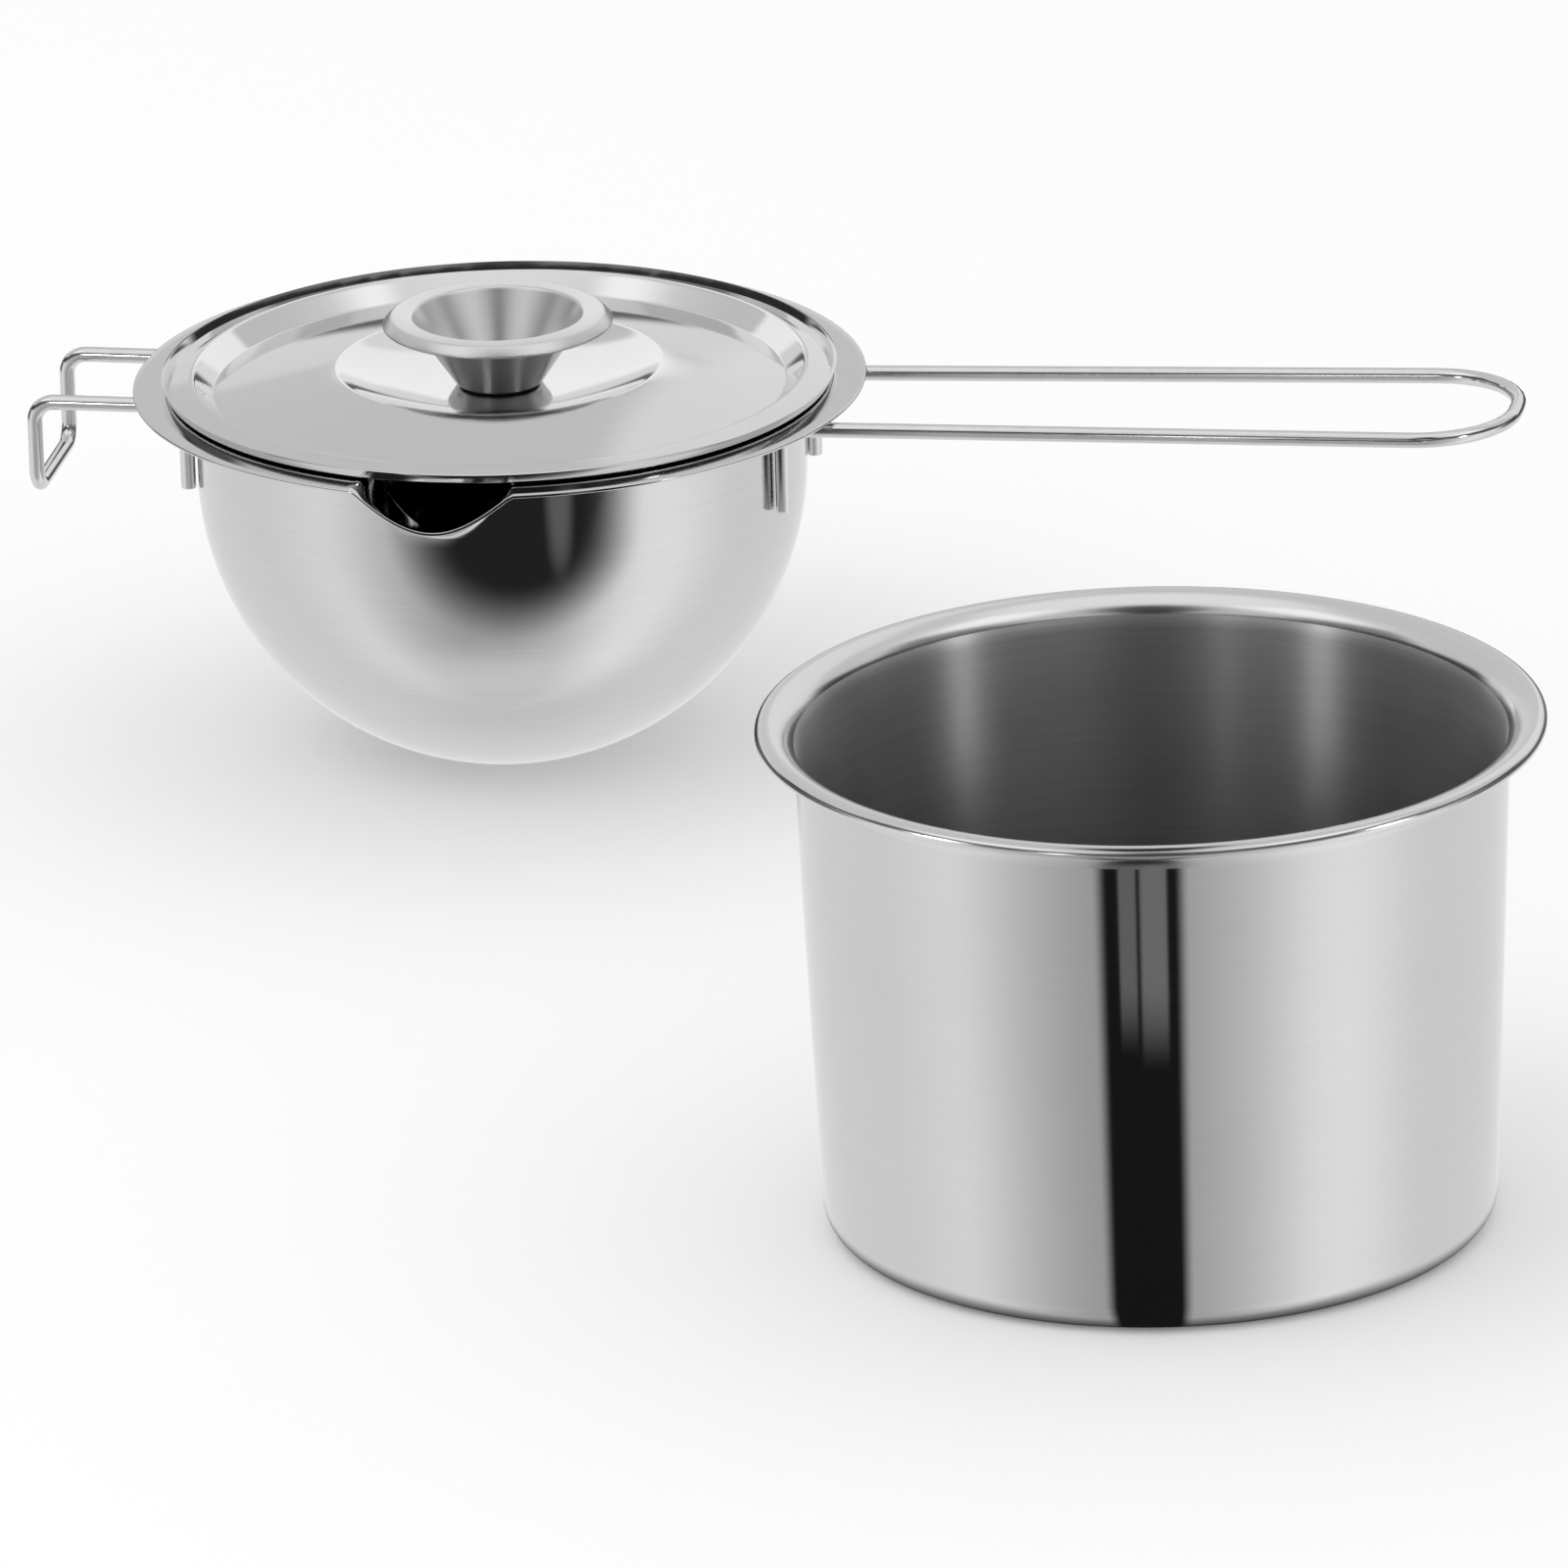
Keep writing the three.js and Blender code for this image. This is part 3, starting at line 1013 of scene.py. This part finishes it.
@dataclass(frozen=True)
class Panel:
    """Soft-edged field of directions, one part of the room or of the strip on the floor."""

    heading: float  # degrees to the right of the camera, seen from the set
    half_width: float
    low: float  # degrees above the horizon
    high: float
    level: float  # brightness, where white is 1
    soft: float = 4  # degrees over which the sides fade
    soft_ends: float = 4  # degrees over which the top and the bottom fade
    tilt: float = 0  # degrees by which the panel leans away, so that its far end sinks

    def mask(self, desk: NodeDesk, direction: NodeSocket, viewpoint: Viewpoint) -> NodeSocket:
        """Marks the directions in which the panel lies.

        Args:
            desk: Tree to work in.
            direction: Direction to look in, of length 1.
            viewpoint: Camera that the heading is counted from.

        Returns:
            1 inside the panel and 0 outside it.
        """
        level = viewpoint.towards(self.heading)
        aside = UP.cross(level)
        lean = Matrix.Rotation(math.radians(-self.tilt), 3, aside)
        along, across, upward = [
            desk.add("VectorMath", {0: direction, 1: way}, operation="DOT_PRODUCT").outputs["Value"]
            for way in (lean @ level, aside, lean @ UP)
        ]
        off = desk.math("ABSOLUTE", desk.math("ARCTAN2", across, along))
        side = desk.spread(off, *fade(self.half_width, self.soft), 1, 0, True)
        height = desk.math("ARCSINE", upward)
        above = desk.spread(height, *fade(self.low, self.soft_ends), 0, 1, True)
        below = desk.spread(height, *fade(self.high, self.soft_ends), 1, 0, True)
        return desk.math("MULTIPLY", side, desk.math("MULTIPLY", above, below))


# Each panel: heading, half width, low and high edge, and level
ROOM = (
    # ceiling
    Panel(180, 180, 66, 95, 1.0, soft_ends=16),
    # back wall: its upper and lower part, a window in it and a dark skirting
    Panel(180, 75, 15.6, 62, 0.72, soft=30, soft_ends=3),
    Panel(180, 45, 5, 15.6, 0.84, soft=16, soft_ends=3),
    Panel(155, 20.4, 6, 50, 0.93, soft=2.4, soft_ends=3),
    Panel(180, 85, -14, 5, 0.12, soft=16, soft_ends=3),
    # light from the left and from the right, with the dim space before the set between them
    Panel(-70, 16, -95, 10, 0.95, soft=34),
    Panel(66, 18, -95, 10, 1.06, soft=44),
    Panel(-7.7, 35, -62, 40, 0.45, soft=60, soft_ends=30),
    # ground, darker than the walls: painted shade of the set on the floor under it
    Panel(180, 180, -95, -74, 0.75, soft_ends=36),
    # wall behind the camera, two windows high up in it and its dark middle
    Panel(0, 98, 6, 40, 0.25, soft=16, soft_ends=6),
    Panel(-65, 26, 43, 64, 1.25, soft=20, soft_ends=5),
    Panel(65, 26, 43, 64, 1.25, soft=20, soft_ends=5),
    Panel(0, 14, 6, 62, 0.08, soft=20, soft_ends=10),
    # dark rail along that wall
    Panel(0, 130, 11, 23.5, 0.03, soft=10, soft_ends=3, tilt=13.3),
)
STRIPE = (
    # dark strip, and two lighter bars on it
    Panel(-4.5, 13.5, -89, -6, 0.011, soft=5, soft_ends=2),
    Panel(-8.9, 2.8, -20, -5, 0.16, soft=1.2, soft_ends=4),
    Panel(-0.4, 4.3, -20.5, -5, 0.2, soft=1.6, soft_ends=5),
)


def overlay(desk: NodeDesk, direction: NodeSocket, viewpoint: Viewpoint, panels: Sequence[Panel],
            level: float | NodeSocket) -> NodeSocket:
    """Lays panels over one another.

    Args:
        desk: Tree to work in.
        direction: Direction to look in, of length 1.
        viewpoint: Camera that the headings are counted from.
        panels: Panels, of which later ones cover earlier ones.
        level: Brightness where no panel lies.

    Returns:
        Brightness in each direction.
    """
    for panel in panels:
        change = desk.math("SUBTRACT", panel.level, level)
        level = desk.math("MULTIPLY_ADD", panel.mask(desk, direction, viewpoint), change, level)
    return level


def show_in_steel(card: Object, desk: NodeDesk, mask: NodeSocket,
                  level: float | NodeSocket) -> None:
    """Makes a card of the stage glow inside its mask, for polished steel alone.

    Args:
        card: Card, with its material on it.
        desk: Tree of that material.
        mask: Where the card shows, 1, and where it is clear, 0.
        level: Brightness, where white is 1.
    """
    face = desk.add("Emission", {"Color": WHITE, "Strength": level})
    clear = desk.add("BsdfTransparent")
    mix = desk.add("MixShader", {0: mask, 1: clear.outputs[0], 2: face.outputs[0]})
    desk.add("OutputMaterial", {"Surface": mix.outputs[0]})
    card.visible_camera = False
    card.visible_diffuse = False
    card.visible_shadow = False


def blank_face(card: Object) -> NodeDesk:
    """Gives a card a material of its own, with nothing in it yet.

    Args:
        card: Card or floor of the stage.

    Returns:
        Tree of that material.
    """
    material = bpy.data.materials.new(card.name)
    material.use_nodes = True
    card.data.materials.append(material)
    return NodeDesk(material.node_tree)


@dataclass(frozen=True)
class Card:
    """Card that stands close to a piece, out of the picture, and shows only in polished steel."""

    name: str
    heading: float  # degrees to the right of the camera, seen from the axis of the piece
    distance: float
    height: float  # of the middle of the card
    half_width: float
    half_height: float
    level: float
    core: float  # share of the card that doesn't fade
    lying: bool = False

    def place(self, axis: Vector, viewpoint: Viewpoint) -> None:
        """Stands the card upright, square to the piece, or lays it level.

        Args:
            axis: Foot of the axis of the piece.
            viewpoint: Camera that the heading is counted from.
        """
        ahead = viewpoint.towards(self.heading)
        aside = UP.cross(ahead)
        turned = Matrix((aside, -ahead, UP) if self.lying else (aside, UP, ahead)).transposed()
        middle = axis + ahead * self.distance + UP * self.height
        half_size = Vector((self.half_width, self.half_height, 1))
        clear_selection()
        bpy.ops.mesh.primitive_plane_add(size=2)
        placed = Matrix.LocRotScale(middle, turned.to_quaternion(), half_size)
        bpy.context.object.matrix_world = placed
        card = take_new(self.name)
        desk = blank_face(card)
        centred = desk.vector("SUBTRACT", desk.add("TexCoord").outputs["UV"], (0.5, 0.5, 0))
        reach = desk.add("VectorMath", {0: centred}, operation="LENGTH")
        mask = desk.spread(reach.outputs["Value"], self.core / 2, 0.5, 1, 0, True)
        show_in_steel(card, desk, mask, self.level)


# Each card: name, heading, distance, height, half width, half height, level and core
POT_CARDS = (
    # bright strips that the brushed inside draws out into streaks
    Card("left_strip", -61, 0.5, 0.225, 0.06, 0.08, 11, 0.2),
    Card("middle_strip", -26, 0.5, 0.225, 0.03, 0.08, 5, 0.2),
    Card("right_strip", 67, 0.5, 0.225, 0.06, 0.08, 11, 0.2),
    # over the mouth, for the flared rim
    Card("rim_card", 0, 0.05, 0.2, 0.12, 0.07, 0.7, 0.6, lying=True),
    Card("rim_gap", -2, 0.05, 0.199, 0.034, 0.075, 0.02, 0.6, lying=True),
    # under the base, a dark disc for the painted shadow under the pot, which its rounded corner
    # reflects
    Card("foot_shadow_card", 0, 0, -0.0005, 0.068, 0.068, 0.02, 0.84, lying=True),
)
BOWL_CARDS = (
    # dark card before the bowl, with a lighter streak on it
    Card("dark_flag", 5, 0.085, 0.064, 0.066, 0.066, 0.02, 0.4),
    Card("flag_streak", 15, 0.08, 0.064, 0.006, 0.027, 0.14, 0.3),
    # bright card behind the lid
    Card("back_card", 180, 0.1, 0.116, 0.052, 0.023, 1.15, 0.7),
)


@dataclass
class Studio:
    """White studio: pale floor, soft light and a room that is dark behind the camera."""

    viewpoint: Viewpoint
    pot: WaterPot
    bowl: MeltingBowl
    floor_side: float = 40
    floor_colour: float = 0.9
    floor_lift: float = 0.12  # glow that brings the lit floor to white
    room_light: float = 0.9  # what lights the set, the same from all sides
    wall_level: float = 0.86  # what steel shows where no panel lies
    stripe_side: float = 1.6
    stripe_drop: float = 0.0003  # how far under the floor the strip lies
    stripe_eye: float = 0.06  # height of the point in the pot that the strip fans out from
    lamp_size: float = 1.2
    lamp_power: float = 3.5
    lamp_place: tuple[float, float, float] = (-0.9, -0.5, 1.5)

    def build(self) -> None:
        """Sets up the floor with its strip, the world, the lamp and the cards."""
        bpy.context.scene.view_settings.view_transform = "Standard"
        self.lay_floor()
        self.lay_stripe()
        self.light_world()
        self.hang_softbox()
        for card in POT_CARDS:
            card.place(self.pot.axis, self.viewpoint)
        for card in BOWL_CARDS:
            card.place(self.bowl.axis, self.viewpoint)

    def lay_floor(self) -> None:
        """Lays the pale floor, which keeps the shadow of the set."""
        clear_selection()
        bpy.ops.mesh.primitive_plane_add(size=self.floor_side, location=(0, 0, 0))
        floor = take_new("floor")
        floor.visible_glossy = False
        desk = blank_face(floor)
        paper = desk.add("BsdfDiffuse", {"Color": (self.floor_colour,) * 3 + (1,)})
        seen = desk.math("MULTIPLY", self.shown(desk), self.floor_lift)
        glow = desk.add("Emission", {"Color": WHITE, "Strength": seen})
        both = desk.add("AddShader", {0: paper.outputs[0], 1: glow.outputs[0]})
        desk.add("OutputMaterial", {"Surface": both.outputs[0]})

    def lay_stripe(self) -> None:
        """Lays the dark strip before the pot, which its wall shows as an upright stripe."""
        clear_selection()
        bpy.ops.mesh.primitive_plane_add(size=self.stripe_side, location=-UP * self.stripe_drop)
        strip = take_new("floor_strip")
        desk = blank_face(strip)
        ahead = self.viewpoint.front * self.pot.mouth_radius / 2
        focus = self.pot.axis + ahead + UP * self.stripe_eye
        direction = desk.vector("NORMALIZE", desk.place_from(focus))
        dark, *bars = STRIPE
        level = overlay(desk, direction, self.viewpoint, bars, dark.level)
        show_in_steel(strip, desk, dark.mask(desk, direction, self.viewpoint), level)

    def shown(self, desk: NodeDesk) -> NodeSocket:
        """Tells the rays of the camera, of reflections and through glass from the others.

        Args:
            desk: Tree to work in.

        Returns:
            1 for those rays and 0 for the others.
        """
        path = desk.add("LightPath")
        rays = ["Is Camera Ray", "Is Glossy Ray", "Is Transmission Ray"]
        camera, glossy, through = [path.outputs[name] for name in rays]
        return desk.math("MAXIMUM", camera, desk.math("MAXIMUM", glossy, through))

    def light_world(self) -> None:
        """Makes a white world, with the panels of the room where reflections show them."""
        world = bpy.data.worlds.new("studio_room")
        bpy.context.scene.world = world
        world.use_nodes = True
        world.cycles.sampling_method = "NONE"
        desk = NodeDesk(world.node_tree)
        direction = desk.add("TexCoord").outputs["Generated"]
        room = overlay(desk, direction, self.viewpoint, ROOM, self.wall_level)
        camera = desk.add("LightPath").outputs["Is Camera Ray"]
        seen = desk.math("MULTIPLY_ADD", camera, desk.math("SUBTRACT", 1.0, room), room)
        shown = self.shown(desk)
        light = desk.math("MULTIPLY", desk.math("SUBTRACT", 1.0, shown), self.room_light)
        strength = desk.math("MULTIPLY_ADD", shown, seen, light)
        background = desk.add("Background", {"Color": WHITE, "Strength": strength})
        desk.add("OutputWorld", {"Surface": background.outputs[0]})

    def hang_softbox(self) -> None:
        """Hangs the large soft lamp over the left shoulder."""
        lamp = bpy.data.lights.new("softbox", "AREA")
        lamp.size = self.lamp_size
        lamp.energy = self.lamp_power
        softbox = bpy.data.objects.new("softbox", lamp)
        softbox.location = self.lamp_place
        softbox.rotation_euler = (-softbox.location).to_track_quat("-Z", "Y").to_euler()
        softbox.visible_glossy = False
        bpy.context.collection.objects.link(softbox)


def main() -> None:
    """Builds the pieces in order, then the camera and the studio."""
    logging.basicConfig(level=logging.INFO, format="%(name)s: %(message)s")
    viewpoint = Viewpoint()
    viewpoint.place()
    pot = WaterPot()
    pot.build()
    bowl = MeltingBowl()
    bowl.build()
    wires = BowlWires(bowl)
    wires.build_handle()
    wires.build_hook()
    lid = Lid(bowl)
    lid.build()
    lid.build_knob()
    Studio(viewpoint, pot, bowl).build()


if __name__ == "__main__":
    main()
